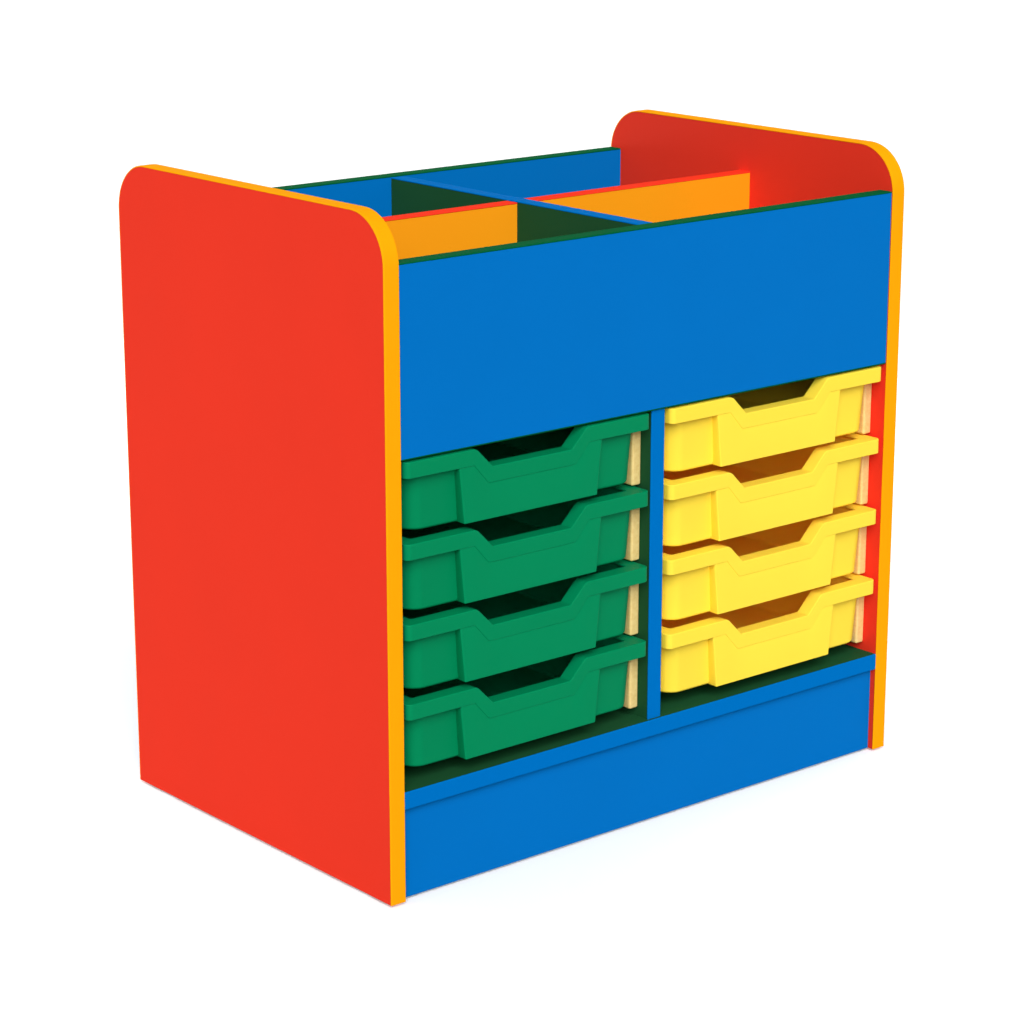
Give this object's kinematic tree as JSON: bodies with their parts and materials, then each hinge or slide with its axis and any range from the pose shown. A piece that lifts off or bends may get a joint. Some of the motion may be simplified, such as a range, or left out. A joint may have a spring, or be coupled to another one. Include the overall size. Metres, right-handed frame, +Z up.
{
  "type": "classroom tray storage unit",
  "caption": "Classroom storage unit: an open divided browser box above bays of pull-out plastic trays on timber runners, between side panels with rounded top corners.",
  "frame": {"origin": "middle of the footprint, on the floor under the glides", "axes": "+Z up, +X along the width to the viewer's right when facing the trays, -Y out of the front"},
  "size_m": [0.7, 0.45, 0.68],
  "materials": {
    "red_board": "satin melamine faced board",
    "blue_board": "satin melamine faced board",
    "green_board": "satin melamine faced board",
    "orange_board": "satin melamine faced board",
    "orange_lipping": "satin edge strip",
    "blue_lipping": "satin edge strip",
    "green_lipping": "satin edge strip",
    "red_lipping": "satin edge strip",
    "green_tray": "moulded polypropylene, low gloss",
    "yellow_tray": "moulded polypropylene, low gloss",
    "maple_runner": "planed and clear lacquered",
    "grey_glide": "moulded",
    "zinc_screw": "bright zinc plated"
  },
  "bodies": {
    "carcass": {"left_side_panel": "red_board", "right_side_panel": "red_board", "front_panel": "blue_board", "back_panel": "blue_board", "plinth": "blue_board", "browser_floor": "green_board", "base_shelf": "green_board", "bay_divider": "green_board", "browser_long_divider": "green_board", "browser_cross_divider_left": "orange_board", "browser_cross_divider_right": "orange_board", "left_side_lipping": "orange_lipping", "right_side_lipping": "orange_lipping", "front_panel_top_lipping": "green_lipping", "front_panel_bottom_lipping": "green_lipping", "back_panel_lipping": "green_lipping", "base_shelf_lipping": "blue_lipping", "bay_divider_lipping": "blue_lipping", "browser_long_divider_lipping": "blue_lipping", "browser_cross_divider_left_lipping": "red_lipping", "browser_cross_divider_right_lipping": "red_lipping", "glide_left_front": "grey_glide", "glide_left_rear": "grey_glide", "glide_right_front": "grey_glide", "glide_right_rear": "grey_glide", "runner_left_bay_1_left": "maple_runner", "runner_left_bay_1_right": "maple_runner", "runner_left_bay_2_left": "maple_runner", "runner_left_bay_2_right": "maple_runner", "runner_left_bay_3_left": "maple_runner", "runner_left_bay_3_right": "maple_runner", "runner_left_bay_4_left": "maple_runner", "runner_left_bay_4_right": "maple_runner", "runner_right_bay_1_left": "maple_runner", "runner_right_bay_1_right": "maple_runner", "runner_right_bay_2_left": "maple_runner", "runner_right_bay_2_right": "maple_runner", "runner_right_bay_3_left": "maple_runner", "runner_right_bay_3_right": "maple_runner", "runner_right_bay_4_left": "maple_runner", "runner_right_bay_4_right": "maple_runner"},
    "tray_left_1": {"tray_left_1": "green_tray"},
    "tray_left_2": {"tray_left_2": "green_tray"},
    "tray_left_3": {"tray_left_3": "green_tray"},
    "tray_left_4": {"tray_left_4": "green_tray"},
    "tray_right_1": {"tray_right_1": "yellow_tray"},
    "tray_right_2": {"tray_right_2": "yellow_tray"},
    "tray_right_3": {"tray_right_3": "yellow_tray"},
    "tray_right_4": {"tray_right_4": "yellow_tray"}
  },
  "joints": [
    {"name": "tray_left_1_slide", "type": "slide", "parent": "carcass", "child": "tray_left_1", "axis": [0, -1, 0], "range_m": [0, 0.36]},
    {"name": "tray_left_2_slide", "type": "slide", "parent": "carcass", "child": "tray_left_2", "axis": [0, -1, 0], "range_m": [0, 0.36]},
    {"name": "tray_left_3_slide", "type": "slide", "parent": "carcass", "child": "tray_left_3", "axis": [0, -1, 0], "range_m": [0, 0.36]},
    {"name": "tray_left_4_slide", "type": "slide", "parent": "carcass", "child": "tray_left_4", "axis": [0, -1, 0], "range_m": [0, 0.36]},
    {"name": "tray_right_1_slide", "type": "slide", "parent": "carcass", "child": "tray_right_1", "axis": [0, -1, 0], "range_m": [0, 0.36]},
    {"name": "tray_right_2_slide", "type": "slide", "parent": "carcass", "child": "tray_right_2", "axis": [0, -1, 0], "range_m": [0, 0.36]},
    {"name": "tray_right_3_slide", "type": "slide", "parent": "carcass", "child": "tray_right_3", "axis": [0, -1, 0], "range_m": [0, 0.36]},
    {"name": "tray_right_4_slide", "type": "slide", "parent": "carcass", "child": "tray_right_4", "axis": [0, -1, 0], "range_m": [0, 0.36]}
  ]
}
